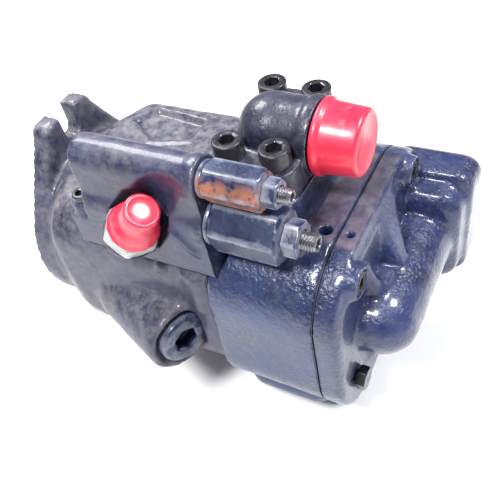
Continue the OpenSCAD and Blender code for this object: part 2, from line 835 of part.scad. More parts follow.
module piston(i) {
    color(bare_steel) at_piston(i) difference() {
        union() {
            translate([tilt_x, 0, 0]) sphere(5.6);
            rod_x(tilt_x, tilt_x + 11, 3.9);
            cone_x(tilt_x + 7, tilt_x + 11, 3.9, piston_d / 2);
            rod_x(tilt_x + 11, tilt_x + 60, piston_d / 2);
        }
        rod_x(tilt_x + 20, tilt_x + 61, 4.5);
        rod_x(tilt_x - 10, tilt_x + 22, 1);
    }
}

module slipper(i) {
    color(bronze) at_piston(i) translate([sole_x, 0, 0]) rotate([0, 90, 0])
        rotate_extrude() difference() {
            polygon([[1, 1], [5, 1], [5, 0.12], [9.4, 0.12], [9.4, 3], [7.2, 3],
                [7.2, 10.4], [1, 10.4]]);
            translate([0, 8]) circle(5.65);
        }
}

main_housing();
port_block();
rear_cover();
gaskets();
case_bolts();
compensator_block();
block_screws();
pressure_cap();
pressure_adjuster();
pressure_locknut();
pressure_spring();
pressure_seat();
pressure_spool();
flow_cap();
flow_adjuster();
flow_locknut();
flow_spring();
flow_seat();
flow_spool();
outlet_elbow();
outlet_screws();
outlet_seal();
outlet_cap();
signal_fitting();
signal_cap();
servo_plug();
servo_piston();
bias_piston();
bias_spring();
drive_shaft();
front_bearing_cup();
front_bearing_cone();
rear_bearing();
shaft_seal();
seal_ring();
cylinder_block();
block_spring();
valve_plate();
swashplate();
cradle_bearings();
retainer_plate();
ball_guide();
for (i = [1:pistons]) {
    piston(i);
    slipper(i);
}
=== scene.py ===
import json
import math

import bmesh
import bpy
import numpy as np
from mathutils import Matrix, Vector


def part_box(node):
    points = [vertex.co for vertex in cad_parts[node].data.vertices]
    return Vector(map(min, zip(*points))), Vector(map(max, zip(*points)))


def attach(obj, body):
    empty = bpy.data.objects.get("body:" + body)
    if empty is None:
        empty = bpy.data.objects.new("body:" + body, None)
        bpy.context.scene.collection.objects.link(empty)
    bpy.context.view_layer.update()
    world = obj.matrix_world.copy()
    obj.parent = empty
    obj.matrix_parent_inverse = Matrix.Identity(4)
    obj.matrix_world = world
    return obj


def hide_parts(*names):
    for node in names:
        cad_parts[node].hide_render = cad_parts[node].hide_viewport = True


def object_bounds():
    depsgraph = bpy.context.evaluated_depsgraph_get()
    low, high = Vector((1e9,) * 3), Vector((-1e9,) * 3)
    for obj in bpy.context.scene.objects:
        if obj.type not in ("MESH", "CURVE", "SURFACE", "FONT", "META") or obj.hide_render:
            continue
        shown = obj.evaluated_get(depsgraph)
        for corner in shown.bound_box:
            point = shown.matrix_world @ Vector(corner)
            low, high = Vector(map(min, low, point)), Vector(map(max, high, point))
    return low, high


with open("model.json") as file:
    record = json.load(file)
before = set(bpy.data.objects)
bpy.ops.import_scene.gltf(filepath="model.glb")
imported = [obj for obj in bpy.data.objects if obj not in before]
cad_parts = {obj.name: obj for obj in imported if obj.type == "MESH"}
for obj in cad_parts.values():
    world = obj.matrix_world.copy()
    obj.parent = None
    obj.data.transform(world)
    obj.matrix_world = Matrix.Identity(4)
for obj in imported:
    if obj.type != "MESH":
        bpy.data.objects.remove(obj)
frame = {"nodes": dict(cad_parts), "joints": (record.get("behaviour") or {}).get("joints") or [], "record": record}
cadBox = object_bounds()
mm = 0.001
nodes = frame["nodes"]
print("frame loaded,", len(nodes), "nodes")


def middle(node):  # centre of a CAD node's box
    low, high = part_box(node)
    return (np.array(low) + np.array(high)) / 2


# camera, light and floor

cameraLook = {
    "place": (304.75, -235.97, 295.78),
    "right": (0.87888, 0.44841, -0.16276),
    "down": (0.22924, -0.69623, -0.68023),
    "forward": (-0.41834, 0.56053, -0.7147),
    "lens": 45.72,
}
cameraData = bpy.data.cameras.new("camera")
cameraData.lens = cameraLook["lens"]
cameraData.sensor_width = 36
cameraData.clip_start = 0.01
camera = bpy.data.objects.new("camera", cameraData)
turn = np.eye(4)
turn[:3, 0] = cameraLook["right"]
turn[:3, 1] = -np.array(cameraLook["down"])
turn[:3, 2] = -np.array(cameraLook["forward"])
turn[:3, 3] = np.array(cameraLook["place"]) * mm
camera.matrix_world = Matrix(turn.tolist())
bpy.context.scene.collection.objects.link(camera)
bpy.context.scene.camera = camera

studio = {
    "sky": (0.93, 0.95, 1.0),
    "skyStrength": 0.3,
    "floorColour": (0.93, 0.93, 0.94),
    # place, size and power of each soft box
    "lights": [
        ((0.1, -0.6, 1.05), 0.22, 17.0),
        ((-0.5, 0.3, 0.9), 0.4, 13.0),
        ((0.75, 0.3, 0.95), 0.25, 14.0),
    ],
}
scene = bpy.context.scene
scene.view_settings.view_transform = "Standard"
world = bpy.data.worlds.new("studio")
world.use_nodes = True
world.node_tree.nodes["Background"].inputs[0].default_value = (*studio["sky"], 1)
world.node_tree.nodes["Background"].inputs[1].default_value = studio["skyStrength"]
scene.world = world
aim = np.array([0.1, 0.0, 0.0])
for index, (place, size, power) in enumerate(studio["lights"]):
    lamp = bpy.data.lights.new(f"softBox{index}", "AREA")
    lamp.size = size
    lamp.energy = power
    box = bpy.data.objects.new(f"softBox{index}", lamp)
    back = np.array(place) - aim
    back /= np.linalg.norm(back)
    side = np.cross((0, 0, 1), back)
    side /= np.linalg.norm(side)
    turn = np.eye(4)
    turn[:3, 0], turn[:3, 1], turn[:3, 2], turn[:3, 3] = side, np.cross(back, side), back, place
    box.matrix_world = Matrix(turn.tolist())
    scene.collection.objects.link(box)

floorMesh = bpy.data.meshes.new("floor")
half = 4.0
under = cadBox[0][2] - 0.0005
floorMesh.from_pydata(
    [(-half, -half, under), (half, -half, under), (half, half, under), (-half, half, under)],
    [], [(0, 1, 2, 3)])
floor = bpy.data.objects.new("floor", floorMesh)
scene.collection.objects.link(floor)
print("camera and studio ready")

# shader groups


# one node, with its sockets set to a value or linked to another node's output
def addNode(tree, kind, links=None, **settings):
    made = tree.nodes.new(kind)
    for key, value in settings.items():
        setattr(made, key, value)
    for socket, value in (links or {}).items():
        target = made.inputs[socket]
        if isinstance(value, bpy.types.NodeSocket):
            tree.links.new(value, target)
        else:
            target.default_value = value
    return made


# an empty shader group with its named inputs and outputs
def newGroup(name, inputs, outputs):
    tree = bpy.data.node_groups.new(name, "ShaderNodeTree")
    for label, kind, value in inputs:
        socket = tree.interface.new_socket(label, in_out="INPUT", socket_type=kind)
        if value is not None:
            socket.default_value = value
    for label, kind in outputs:
        tree.interface.new_socket(label, in_out="OUTPUT", socket_type=kind)
    return tree, tree.nodes.new("NodeGroupInput"), tree.nodes.new("NodeGroupOutput")


vec, num = "NodeSocketVector", "NodeSocketFloat"


def buildPatches():  # noise cut between two levels: patches with soft or hard rims
    tree, given, out = newGroup("patches", [("Vector", vec, None), ("Scale", num, 40.0),
        ("Detail", num, 5.0), ("Low", num, 0.4), ("High", num, 0.6)], [("Mask", num)])
    noise = addNode(tree, "ShaderNodeTexNoise", {"Vector": given.outputs["Vector"],
        "Scale": given.outputs["Scale"], "Detail": given.outputs["Detail"], "Roughness": 0.6})
    cut = addNode(tree, "ShaderNodeMapRange", {"Value": noise.outputs[0],
        "From Min": given.outputs["Low"], "From Max": given.outputs["High"]})
    tree.links.new(cut.outputs[0], out.inputs["Mask"])
    return tree


def buildGrain():  # cast skin under paint: orange peel, pits and fine sand
    tree, given, out = newGroup("castGrain", [("Vector", vec, None), ("Peel", num, 1.0),
        ("Sand", num, 0.5), ("Pits", num, 0.5)], [("Height", num)])
    peel = addNode(tree, "ShaderNodeTexNoise", {"Vector": given.outputs["Vector"],
        "Scale": 430.0, "Detail": 2.0, "Distortion": 0.5})
    sand = addNode(tree, "ShaderNodeTexNoise", {"Vector": given.outputs["Vector"],
        "Scale": 1300.0, "Detail": 3.0})
    cells = addNode(tree, "ShaderNodeTexVoronoi", {"Vector": given.outputs["Vector"],
        "Scale": 330.0})
    pit = addNode(tree, "ShaderNodeMapRange", {"Value": cells.outputs["Distance"],
        "From Min": 0.0, "From Max": 0.3, "To Min": -1.0, "To Max": 0.0})
    a = addNode(tree, "ShaderNodeMath", {0: peel.outputs[0], 1: given.outputs["Peel"]},
        operation="MULTIPLY")
    b = addNode(tree, "ShaderNodeMath", {0: sand.outputs[0], 1: given.outputs["Sand"],
        2: a.outputs[0]}, operation="MULTIPLY_ADD")
    c = addNode(tree, "ShaderNodeMath", {0: pit.outputs[0], 1: given.outputs["Pits"],
        2: b.outputs[0]}, operation="MULTIPLY_ADD")
    tree.links.new(c.outputs[0], out.inputs["Height"])
    return tree


def buildEdges():  # sharp ridges rubbed bare; a mask of the hollows for painted shade
    tree, given, out = newGroup("edgeWearAndShade", [("Vector", vec, None), ("Ridge", num, 0.54),
        ("Hollow", num, 0.46)], [("Edge", num), ("ShadedHollow", num)])
    shape = addNode(tree, "ShaderNodeNewGeometry")
    noise = addNode(tree, "ShaderNodeTexNoise", {"Vector": given.outputs["Vector"],
        "Scale": 170.0, "Detail": 4.0})
    shift = addNode(tree, "ShaderNodeMapRange", {"Value": noise.outputs[0],
        "From Min": 0.3, "From Max": 0.7, "To Min": -0.025, "To Max": 0.025})
    broken = addNode(tree, "ShaderNodeMath", {0: shape.outputs["Pointiness"],
        1: shift.outputs[0]}, operation="ADD")
    top = addNode(tree, "ShaderNodeMath", {0: given.outputs["Ridge"], 1: 0.05},
        operation="ADD")
    edge = addNode(tree, "ShaderNodeMapRange", {"Value": broken.outputs[0],
        "From Min": given.outputs["Ridge"], "From Max": top.outputs[0]})
    low = addNode(tree, "ShaderNodeMath", {0: given.outputs["Hollow"], 1: 0.05},
        operation="SUBTRACT")
    # mask of the hollows, where painted shade goes
    shadedHollow = addNode(tree, "ShaderNodeMapRange", {"Value": broken.outputs[0],
        "From Min": given.outputs["Hollow"], "From Max": low.outputs[0]})
    tree.links.new(edge.outputs[0], out.inputs["Edge"])
    tree.links.new(shadedHollow.outputs[0], out.inputs["ShadedHollow"])
    return tree


def buildDust():  # dry dust that settles on faces looking up, broken by noise
    tree, given, out = newGroup("dustFilm", [("Vector", vec, None), ("Normal", vec, None),
        ("Amount", num, 0.5)], [("Mask", num)])
    part = addNode(tree, "ShaderNodeSeparateXYZ", {0: given.outputs["Normal"]})
    up = addNode(tree, "ShaderNodeMapRange", {"Value": part.outputs["Z"],
        "From Min": -0.3, "From Max": 0.9, "To Min": 0.25, "To Max": 1.0})
    noise = addNode(tree, "ShaderNodeTexNoise", {"Vector": given.outputs["Vector"],
        "Scale": 130.0, "Detail": 9.0, "Roughness": 0.74})
    cut = addNode(tree, "ShaderNodeMapRange", {"Value": noise.outputs[0],
        "From Min": 0.38, "From Max": 0.72})
    both = addNode(tree, "ShaderNodeMath", {0: up.outputs[0], 1: cut.outputs[0]},
        operation="MULTIPLY")
    last = addNode(tree, "ShaderNodeMath", {0: both.outputs[0], 1: given.outputs["Amount"]},
        operation="MULTIPLY", use_clamp=True)
    tree.links.new(last.outputs[0], out.inputs["Mask"])
    return tree


def buildMarks():  # fine parallel tool marks, as streaks of stretched noise
    tree, given, out = newGroup("toolMarks", [("Vector", vec, None), ("Stretch", vec, (1, 1, 1)),
        ("Scale", num, 900.0)], [("Height", num)])
    stretched = addNode(tree, "ShaderNodeVectorMath", {0: given.outputs["Vector"],
        1: given.outputs["Stretch"]}, operation="MULTIPLY")
    noise = addNode(tree, "ShaderNodeTexNoise", {"Vector": stretched.outputs[0],
        "Scale": given.outputs["Scale"], "Detail": 3.0})
    tree.links.new(noise.outputs[0], out.inputs["Height"])
    return tree


patches = buildPatches()
castGrain = buildGrain()
edgeWearAndShade = buildEdges()
dustFilm = buildDust()
toolMarks = buildMarks()


# one use of a shader group, with its inputs set to a value or linked
def useGroup(tree, group, links):
    made = tree.nodes.new("ShaderNodeGroup")
    made.node_tree = group
    for socket, value in links.items():
        target = made.inputs[socket]
        if isinstance(value, bpy.types.NodeSocket):
            tree.links.new(value, target)
        else:
            target.default_value = value
    return made


# mix of two colours, by a mask from 0 to 1
def blendColour(tree, mask, under, over):
    mix = tree.nodes.new("ShaderNodeMix")
    mix.data_type = "RGBA"
    for socket, value in ((0, mask), (6, under), (7, over)):
        if isinstance(value, bpy.types.NodeSocket):
            tree.links.new(value, mix.inputs[socket])
        else:
            mix.inputs[socket].default_value = value if socket == 0 else (*value, 1)
    return mix.outputs[2]


# mix of two values, by a mask from 0 to 1
def blendValue(tree, mask, under, over):
    mix = tree.nodes.new("ShaderNodeMix")
    mix.data_type = "FLOAT"
    for socket, value in ((0, mask), (2, under), (3, over)):
        if isinstance(value, bpy.types.NodeSocket):
            tree.links.new(value, mix.inputs[socket])
        else:
            mix.inputs[socket].default_value = value
    return mix.outputs[0]


# a material whose constants sit on the shader's own sockets
def newMaterial(name, **constants):
    made = bpy.data.materials.new(name)
    made.use_nodes = True
    shader = made.node_tree.nodes["Principled BSDF"]
    for socket, value in constants.items():
        shader.inputs[socket.replace("_", " ")].default_value = value
    coords = made.node_tree.nodes.new("ShaderNodeTexCoord")
    return made, made.node_tree, shader, coords


# colour, roughness and bump height joined to the shader
def finishMaterial(tree, shader, colour, rough, height, distance, strength=0.6):
    bump = addNode(tree, "ShaderNodeBump", {"Height": height, "Distance": distance,
        "Strength": strength})
    tree.links.new(colour, shader.inputs["Base Color"])
    tree.links.new(rough, shader.inputs["Roughness"])
    tree.links.new(bump.outputs[0], shader.inputs["Normal"])


def span(tree, value, low, high):  # 0 below low, 1 above high
    return addNode(tree, "ShaderNodeMapRange", {"Value": value, "From Min": low,
        "From Max": high}).outputs[0]


# product of two values
def times(tree, a, b):
    return addNode(tree, "ShaderNodeMath", {0: a, 1: b}, operation="MULTIPLY").outputs[0]


# old gloss enamel on a casting: two blue tones in clouds, painted shade in the hollows, dust on top, pale
# rubbed ridges, bare pinkish metal low on the front, a machined pad where z is high
def enamel(name, look):
    made, tree, shader, coords = newMaterial(name, Coat_Weight=look["coat"],
        Coat_Roughness=0.14, IOR=1.45)
    place, normal = coords.outputs["Object"], coords.outputs["Normal"]
    axis = addNode(tree, "ShaderNodeSeparateXYZ", {0: place})
    clouds = useGroup(tree, patches, {"Vector": place, "Scale": 28.0, "Low": 0.35,
        "High": 0.65}).outputs[0]
    flecks = useGroup(tree, patches, {"Vector": place, "Scale": 210.0, "Detail": 6.0,
        "Low": 0.5, "High": 0.68}).outputs[0]
    wear = useGroup(tree, edgeWearAndShade, {"Vector": place, "Ridge": look["ridge"],
        "Hollow": look["hollow"]})
    dust = useGroup(tree, dustFilm, {"Vector": place, "Normal": normal,
        "Amount": look["dust"]}).outputs[0]
    base = blendColour(tree, clouds, look["dark"], look["light"])
    base = blendColour(tree, times(tree, flecks, 0.35), base, look["fleck"])
    front = span(tree, axis.outputs["X"], look["dustFrom"], look["dustFrom"] - 0.05)
    sooty = times(tree, dust, blendValue(tree, front, look["rearDust"], 1.0))
    base = blendColour(tree, sooty, base, look["dustColour"])
    pink = useGroup(tree, patches, {"Vector": place, "Scale": 50.0, "Detail": 7.0,
        "Low": 0.48, "High": 0.6}).outputs[0]
    low = span(tree, axis.outputs["Z"], 0.0, -0.03)
    pink = times(tree, times(tree, pink, low), front)
    base = blendColour(tree, times(tree, pink, 0.7), base, (0.3, 0.19, 0.2))
    base = blendColour(tree, times(tree, wear.outputs["Edge"], 0.55), base, look["edge"])
    # painted shade: the hollows turn near-black, where shade falls
    base = blendColour(tree, times(tree, wear.outputs["ShadedHollow"], 0.85), base,
        (0.009, 0.009, 0.014))
    rough = blendValue(tree, clouds, look["rough"][0], look["rough"][1])
    rough = blendValue(tree, sooty, rough, 0.75)
    rough = blendValue(tree, wear.outputs["ShadedHollow"], rough, 0.25)
    skin = useGroup(tree, castGrain, {"Vector": place, "Peel": look["peel"],
        "Sand": look["sand"], "Pits": look["pits"]}).outputs[0]
    if look.get("rimY"):  # paint worn off the flange's edge
        rim = times(tree, span(tree, axis.outputs["Y"], look["rimY"] - 0.001, look["rimY"]),
            useGroup(tree, patches, {"Vector": place, "Scale": 70.0, "Detail": 8.0,
            "Low": 0.3, "High": 0.45}).outputs[0])
        base = blendColour(tree, times(tree, rim, 0.85), base, (0.27, 0.22, 0.21))
        rough = blendValue(tree, rim, rough, 0.7)
    if look.get("padZ"):
        flat = times(tree, span(tree, axis.outputs["Z"], look["padZ"] - 0.0006,
            look["padZ"] - 0.0002), span(tree, addNode(tree, "ShaderNodeSeparateXYZ",
            {0: normal}).outputs["Z"], 0.8, 0.95))
        marks = useGroup(tree, toolMarks, {"Vector": place, "Stretch": (0.05, 1, 1),
            "Scale": 1500.0}).outputs[0]
        stain = useGroup(tree, patches, {"Vector": place, "Scale": 90.0, "Detail": 8.0,
            "Low": 0.4, "High": 0.66}).outputs[0]
        padColour = blendColour(tree, stain, (0.05, 0.046, 0.08), (0.14, 0.125, 0.16))
        base = blendColour(tree, flat, base, padColour)
        rough = blendValue(tree, flat, rough, 0.42)
        skin = blendValue(tree, flat, skin, times(tree, marks, 0.25))
    finishMaterial(tree, shader, base, rough, skin, 0.0006, look["bump"])
    return made


blueEnamel = {
    "dark": (0.006, 0.009, 0.03), "light": (0.028, 0.034, 0.085), "fleck": (0.085, 0.08, 0.12),
    "edge": (0.2, 0.21, 0.28), "dustColour": (0.19, 0.175, 0.19), "coat": 0.25, "dust": 1.1,
    "dustFrom": 0.16, "rearDust": 0.35, "ridge": 0.535, "hollow": 0.465,
    "rough": (0.3, 0.5), "peel": 0.9, "sand": 0.25, "pits": 0.25, "bump": 0.45,
}
frontEnamel = enamel("frontEnamel", blueEnamel | {"coat": 0.3, "rough": (0.4, 0.6)})
wetEnamel = enamel("wetEnamel", blueEnamel | {"dark": (0.004, 0.014, 0.06),
    "light": (0.016, 0.038, 0.14), "coat": 0.45, "rough": (0.22, 0.4), "bump": 0.6, "peel": 2.2,
    "dust": 0.55, "padZ": 0.0636})
coverEnamel = enamel("coverEnamel", blueEnamel | {"dark": (0.004, 0.011, 0.05),
    "light": (0.016, 0.03, 0.115), "rimY": 0.0705, "coat": 0.45, "rough": (0.22, 0.4),
    "bump": 0.6, "peel": 2.2, "dust": 0.5, "padZ": 0.0636})
blockEnamel = enamel("blockEnamel", blueEnamel | {"dark": (0.006, 0.01, 0.036),
    "light": (0.022, 0.029, 0.085), "coat": 0.25, "rough": (0.3, 0.5), "dust": 0.7})
elbowEnamel = enamel("elbowEnamel", blueEnamel | {"dark": (0.006, 0.008, 0.022),
    "light": (0.024, 0.026, 0.06), "coat": 0.25, "rough": (0.26, 0.46), "dust": 0.6})


# enamel on turned steel, flaking to orange rust on the side below rustFrom
def hexEnamel(name, rustFrom):
    made, tree, shader, coords = newMaterial(name, Coat_Weight=0.3, Coat_Roughness=0.15)
    place = coords.outputs["Object"]
    axis = addNode(tree, "ShaderNodeSeparateXYZ", {0: place})
    clouds = useGroup(tree, patches, {"Vector": place, "Scale": 60.0, "Low": 0.3,
        "High": 0.7}).outputs[0]
    flakes = useGroup(tree, patches, {"Vector": place, "Scale": 130.0, "Detail": 9.0,
        "Low": 0.38, "High": 0.47}).outputs[0]
    lowSide = span(tree, axis.outputs["Z"], rustFrom + 0.003, rustFrom - 0.002)
    wear = useGroup(tree, edgeWearAndShade, {"Vector": place, "Ridge": 0.52, "Hollow": 0.46})
    rust = times(tree, flakes, lowSide)
    rustTone = blendColour(tree, clouds, (0.14, 0.05, 0.035), (0.42, 0.15, 0.08))
    base = blendColour(tree, clouds, (0.005, 0.01, 0.035), (0.018, 0.032, 0.09))
    base = blendColour(tree, rust, base, rustTone)
    base = blendColour(tree, times(tree, wear.outputs["Edge"], 0.7), base, (0.26, 0.27, 0.33))
    rough = blendValue(tree, rust, blendValue(tree, clouds, 0.22, 0.42), 0.85)
    skin = useGroup(tree, castGrain, {"Vector": place, "Peel": 0.5, "Sand": 0.3,
        "Pits": 0.2}).outputs[0]
    finishMaterial(tree, shader, base, rough, blendValue(tree, rust, skin,
        times(tree, skin, 2.5)), 0.0005, 0.45)
    return made


# turned or blackened steel, bronze and zinc: tool marks, stain clouds, bright ridges, painted shade in the hollows
def bareMetal(name, tone, stain, rough, stretch=(1, 0.04, 0.04), metal=1.0, amount=0.5):
    made, tree, shader, coords = newMaterial(name, Metallic=metal)
    place = coords.outputs["Object"]
    marks = useGroup(tree, toolMarks, {"Vector": place, "Stretch": stretch,
        "Scale": 1800.0}).outputs[0]
    clouds = useGroup(tree, patches, {"Vector": place, "Scale": 120.0, "Detail": 7.0,
        "Low": 0.42, "High": 0.68}).outputs[0]
    wear = useGroup(tree, edgeWearAndShade, {"Vector": place, "Ridge": 0.54, "Hollow": 0.45})
    base = blendColour(tree, times(tree, clouds, amount), tone, stain)
    bright = tuple(min(1.0, 1.8 * c + 0.03) for c in tone)
    base = blendColour(tree, times(tree, wear.outputs["Edge"], 0.5), base, bright)
    # painted shade: the hollows darken to a quarter of the tone
    base = blendColour(tree, times(tree, wear.outputs["ShadedHollow"], 0.7), base,
        tuple(0.25 * c for c in tone))
    finishMaterial(tree, shader, base, blendValue(tree, clouds, rough, rough + 0.22),
        marks, 0.0003, 0.35)
    return made


# soft red moulding: a little light passes through it, with scuffs and paler clouds
def softRed(name):
    made, tree, shader, coords = newMaterial(name, Subsurface_Weight=0.18,
        Subsurface_Scale=0.004, Coat_Weight=0.5, Coat_Roughness=0.2)
    shader.inputs["Subsurface Radius"].default_value = (1.0, 0.25, 0.2)
    place = coords.outputs["Object"]
    scuffs = useGroup(tree, patches, {"Vector": place, "Scale": 160.0, "Detail": 9.0,
        "Low": 0.56, "High": 0.72}).outputs[0]
    clouds = useGroup(tree, patches, {"Vector": place, "Scale": 60.0, "Low": 0.3,
        "High": 0.7}).outputs[0]
    base = blendColour(tree, clouds, (0.72, 0.012, 0.045), (0.82, 0.028, 0.075))
    base = blendColour(tree, times(tree, scuffs, 0.3), base, (0.9, 0.25, 0.3))
    skin = useGroup(tree, castGrain, {"Vector": place, "Peel": 0.4, "Sand": 0.3,
        "Pits": 0.0}).outputs[0]
    finishMaterial(tree, shader, base, blendValue(tree, clouds, 0.32, 0.5), skin,
        0.0004, 0.3)
    return made


def dullSkin(name, tone, rough):  # rubber, gasket and ring polymer
    made, tree, shader, coords = newMaterial(name)
    place = coords.outputs["Object"]
    clouds = useGroup(tree, patches, {"Vector": place, "Scale": 90.0, "Low": 0.35,
        "High": 0.7}).outputs[0]
    skin = useGroup(tree, castGrain, {"Vector": place, "Peel": 0.2, "Sand": 0.8,
        "Pits": 0.3}).outputs[0]
    paler = tuple(2.2 * c + 0.01 for c in tone)
    finishMaterial(tree, shader, blendColour(tree, clouds, tone, paler),
        blendValue(tree, clouds, rough, rough + 0.2), skin, 0.0003, 0.4)
    return made


finishes = {
    "casting_paint": frontEnamel,
    "painted_steel": hexEnamel("plainHexEnamel", -1.0),
    "gasket_black": dullSkin("gasketSheet", (0.014, 0.016, 0.03), 0.5),
    "black_screws": bareMetal("blackOxide", (0.035, 0.034, 0.045), (0.085, 0.075, 0.08), 0.24,
        metal=0.6),
    "bright_steel": bareMetal("turnedSteel", (0.5, 0.5, 0.52), (0.3, 0.28, 0.26), 0.25),
    "spring_steel": bareMetal("springWire", (0.36, 0.36, 0.38), (0.2, 0.18, 0.17), 0.35),
    "black_rubber": dullSkin("sealRubber", (0.018, 0.018, 0.018), 0.5),
    "ring_polymer": dullSkin("ringPolymer", (0.05, 0.05, 0.05), 0.4),
    "red_plastic": softRed("softRed"),
    "zinc_fitting": bareMetal("zincPlate", (0.42, 0.42, 0.42), (0.62, 0.61, 0.58), 0.5,
        metal=0.6, amount=0.9),
    "bronze": bareMetal("bronze", (0.55, 0.36, 0.17), (0.3, 0.17, 0.08), 0.3),
}
slotOf = {row["node"]: row["material_slot"] for row in frame["record"]["subparts"]}
for name, cad in nodes.items():
    while len(cad.material_slots) < 1:
        cad.data.materials.append(None)
    for spot in cad.material_slots:
        spot.material = finishes[slotOf[name]]
floorMaterial, floorTree, floorShader, floorCoords = newMaterial("paleFloor")
floorTone = useGroup(floorTree, patches, {"Vector": floorCoords.outputs["Object"],
    "Scale": 6.0, "Low": 0.2, "High": 0.8}).outputs[0]
floorTree.links.new(blendColour(floorTree, floorTone, studio["floorColour"],
    tuple(0.99 * c for c in studio["floorColour"])), floorShader.inputs["Base Color"])
floorShader.inputs["Roughness"].default_value = 0.9
floorMesh.materials.append(floorMaterial)
print("materials ready")

# castings


# which points lie inside any of the boxes, given in mm
def insideBoxes(points, boxes):
    hit = np.zeros(len(points), bool)
    for low, high in boxes:
        hit |= np.all((points > np.array(low) * mm) & (points < np.array(high) * mm), axis=1)
    return hit


# each point moves towards the mean of its neighbours by its own weight
def relax(points, edges, weight, steps):
    a, b = edges[:, 0], edges[:, 1]
    count = len(points)
    degree = np.maximum(np.bincount(a, minlength=count) + np.bincount(b, minlength=count), 1)
    for _ in range(steps):
        total = np.stack([np.bincount(a, points[b, k], count)
            + np.bincount(b, points[a, k], count) for k in range(3)], 1)
        points = points + (total / degree[:, None] - points) * weight[:, None]
    return points


# slow unevenness of a sand casting: for each wave length, the product of three sines along
# fixed random directions, all added up
def castWaves(points, seed):
    rng = np.random.default_rng(seed)
    total = np.zeros(len(points))
    for length in (0.034, 0.021, 0.013, 0.009):
        ways = rng.normal(size=(3, 3))
        ways /= np.linalg.norm(ways, axis=1)[:, None]
        phase = rng.uniform(0, 2 * math.pi, 3)
        total += length * np.prod(np.sin(points @ ways.T * (2 * math.pi / length) + phase), 1)
    return total / 0.034


# rings along an axis, closed on a centre point at each end. A row is x, radius, hexagon share
# 0 to 1, largest radius, thread depth. Radius is the flat's distance from the axis: a hexagon
# is that distance over the cosine of the angle from the flat's middle, and a thread takes off
# its depth times a triangle wave of length over pitch less angle over a full turn
def turned(rows, base, axis, around=72, spin=0.0, pitch=0.0, up=(0, 0, 1)):
    rows = np.array([list(r) + [0, 1e3, 0][len(r) - 2:] for r in rows], float)
    angle = np.linspace(0, 2 * math.pi, around, endpoint=False)
    lobe = 1 / np.cos((angle + spin) % (math.pi / 3) - math.pi / 6) - 1
    x, flat, hexShare, limit, depth = (rows[:, k][:, None] for k in range(5))
    radius = np.minimum(flat * (1 + hexShare * lobe), limit)
    if pitch:
        wave = np.abs(2 * ((x / pitch - angle / (2 * math.pi)) % 1) - 1)
        radius = radius - depth * wave
    axis = np.array(axis, float) / np.linalg.norm(axis)
    side = np.cross(up, axis)
    side /= np.linalg.norm(side)
    other = np.cross(axis, side)
    rings = (np.array(base) + x[..., None] * axis
        + radius[..., None] * (np.cos(angle)[:, None] * side + np.sin(angle)[:, None] * other))
    count = len(rows)
    ends = np.array([np.array(base) + rows[0, 0] * axis, np.array(base) + rows[-1, 0] * axis])
    verts = np.vstack([rings.reshape(-1, 3), ends]) * mm
    row = np.arange(count - 1)[:, None] * around
    here, after = np.arange(around), (np.arange(around) + 1) % around
    quads = np.stack([row + here, row + after, row + around + after, row + around + here],
        -1).reshape(-1, 4)
    first, last = count * around, count * around + 1
    tail = (count - 1) * around
    caps = np.vstack([np.stack([np.full(around, first), after, here], -1),
        np.stack([np.full(around, last), tail + here, tail + after], -1)])
    return verts, quads.tolist() + caps.tolist()


# quarter of an ellipse from one profile point to the next, bulging away from the axis
def arc(x0, r0, x1, r1, steps=4):
    t = np.linspace(0, math.pi / 2, steps + 1)
    return [(x0 + (x1 - x0) * math.sin(a), r1 + (r0 - r1) * math.cos(a)) for a in t]


# convex hull of a few corners, in mm
def hullSolid(points):
    work = bmesh.new()
    for point in points:
        work.verts.new([c * mm for c in point])
    made = bmesh.ops.convex_hull(work, input=work.verts)
    spare = [v for v in made["geom_interior"] + made["geom_unused"] if v.is_valid]
    bmesh.ops.delete(work, geom=spare, context="VERTS")
    work.verts.index_update()
    verts = np.array([v.co[:] for v in work.verts])
    faces = [[v.index for v in face.verts] for face in work.faces]
    work.free()
    return verts, faces


# box between two corners, in mm
def block(low, high):
    return hullSolid([(x, y, z) for x in (low[0], high[0]) for y in (low[1], high[1])
        for z in (low[2], high[2])])


# rope of a given radius through points: rings across the local direction, ends closed
def bead(points, radius, around=14):
    path = np.array(points, float)
    way = np.gradient(path, axis=0)
    way /= np.linalg.norm(way, axis=1)[:, None]
    side = np.cross(way, (0.13, 0.97, 0.2))
    side /= np.linalg.norm(side, axis=1)[:, None]
    other = np.cross(way, side)
    angle = np.linspace(0, 2 * math.pi, around, endpoint=False)
    sizes = np.full(len(path), float(radius))
    sizes[[0, -1]] *= 0.6
    rings = path[:, None] + sizes[:, None, None] * (np.cos(angle)[:, None] * side[:, None]
        + np.sin(angle)[:, None] * other[:, None])
    verts = np.vstack([rings.reshape(-1, 3), path[:1], path[-1:]]) * mm
    row = np.arange(len(path) - 1)[:, None] * around
    here, after = np.arange(around), (np.arange(around) + 1) % around
    quads = np.stack([row + here, row + after, row + around + after, row + around + here],
        -1).reshape(-1, 4)
    first, tail = len(path) * around, (len(path) - 1) * around
    caps = np.vstack([np.stack([np.full(around, first), after, here], -1),
        np.stack([np.full(around, first + 1), tail + here, tail + after], -1)])
    return verts, quads.tolist() + caps.tolist()


# rounded rectangle in (x, z) at each y: half sizes shrink by the row's inset
def collar(centre, half, corner, rows):
    points = []
    for y, inset in rows:
        for turnAngle in np.linspace(0, 2 * math.pi, 33)[:-1]:
            sx, sz = np.sign(math.cos(turnAngle)), np.sign(math.sin(turnAngle))
            points.append((centre[0] + sx * (half[0] - corner) + (corner - inset)
                * math.cos(turnAngle), y, centre[1] + sz * (half[1] - corner)
                + (corner - inset) * math.sin(turnAngle)))
    return hullSolid(points)


